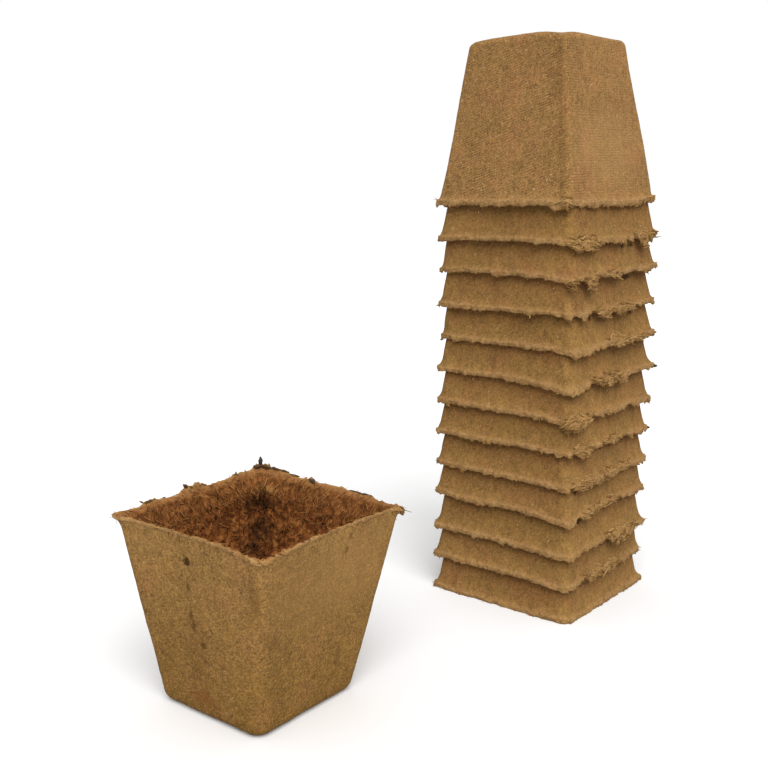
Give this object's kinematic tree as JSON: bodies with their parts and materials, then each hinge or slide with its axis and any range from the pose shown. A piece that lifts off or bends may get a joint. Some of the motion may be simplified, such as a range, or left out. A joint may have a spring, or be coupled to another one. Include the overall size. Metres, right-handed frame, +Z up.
{
  "type": "peat pot set",
  "caption": "Square tapered peat pots of pressed fibre with a flared lip: one stands loose, the rest are nested upside down in a tower.",
  "frame": {"origin": "on the table, about midway between the loose pot and the tower, at the bottom centre of the whole set's box", "axes": "+Z up along the tower, X and Y along the sides of the loose pot, the tower on its +X +Y side and turned by a few degrees"},
  "size_m": [0.1136, 0.2626, 0.2723],
  "materials": {
    "peat_pulp": "dry pressed peat and wood fibre, matt, with a wire-mesh imprint and torn edges"
  },
  "bodies": {
    "loose_pot": {"loose_pot": "peat_pulp"},
    "stack_pot_01": {"stack_pot_01": "peat_pulp"},
    "stack_pot_02": {"stack_pot_02": "peat_pulp"},
    "stack_pot_03": {"stack_pot_03": "peat_pulp"},
    "stack_pot_04": {"stack_pot_04": "peat_pulp"},
    "stack_pot_05": {"stack_pot_05": "peat_pulp"},
    "stack_pot_06": {"stack_pot_06": "peat_pulp"},
    "stack_pot_07": {"stack_pot_07": "peat_pulp"},
    "stack_pot_08": {"stack_pot_08": "peat_pulp"},
    "stack_pot_09": {"stack_pot_09": "peat_pulp"},
    "stack_pot_10": {"stack_pot_10": "peat_pulp"},
    "stack_pot_11": {"stack_pot_11": "peat_pulp"},
    "stack_pot_12": {"stack_pot_12": "peat_pulp"},
    "stack_pot_13": {"stack_pot_13": "peat_pulp"}
  },
  "joints": [
    {"name": "loose_pot_lift", "type": "slide", "parent": "stack_pot_01", "child": "loose_pot", "axis": [0, 0, 1], "range_m": [0, 0.09]},
    {"name": "stack_pot_02_lift", "type": "slide", "parent": "stack_pot_01", "child": "stack_pot_02", "axis": [0, 0, 1], "range_m": [0, 0.067]},
    {"name": "stack_pot_03_lift", "type": "slide", "parent": "stack_pot_02", "child": "stack_pot_03", "axis": [0, 0, 1], "range_m": [0, 0.067]},
    {"name": "stack_pot_04_lift", "type": "slide", "parent": "stack_pot_03", "child": "stack_pot_04", "axis": [0, 0, 1], "range_m": [0, 0.067]},
    {"name": "stack_pot_05_lift", "type": "slide", "parent": "stack_pot_04", "child": "stack_pot_05", "axis": [0, 0, 1], "range_m": [0, 0.067]},
    {"name": "stack_pot_06_lift", "type": "slide", "parent": "stack_pot_05", "child": "stack_pot_06", "axis": [0, 0, 1], "range_m": [0, 0.067]},
    {"name": "stack_pot_07_lift", "type": "slide", "parent": "stack_pot_06", "child": "stack_pot_07", "axis": [0, 0, 1], "range_m": [0, 0.067]},
    {"name": "stack_pot_08_lift", "type": "slide", "parent": "stack_pot_07", "child": "stack_pot_08", "axis": [0, 0, 1], "range_m": [0, 0.067]},
    {"name": "stack_pot_09_lift", "type": "slide", "parent": "stack_pot_08", "child": "stack_pot_09", "axis": [0, 0, 1], "range_m": [0, 0.067]},
    {"name": "stack_pot_10_lift", "type": "slide", "parent": "stack_pot_09", "child": "stack_pot_10", "axis": [0, 0, 1], "range_m": [0, 0.067]},
    {"name": "stack_pot_11_lift", "type": "slide", "parent": "stack_pot_10", "child": "stack_pot_11", "axis": [0, 0, 1], "range_m": [0, 0.067]},
    {"name": "stack_pot_12_lift", "type": "slide", "parent": "stack_pot_11", "child": "stack_pot_12", "axis": [0, 0, 1], "range_m": [0, 0.067]},
    {"name": "stack_pot_13_lift", "type": "slide", "parent": "stack_pot_12", "child": "stack_pot_13", "axis": [0, 0, 1], "range_m": [0, 0.067]}
  ]
}
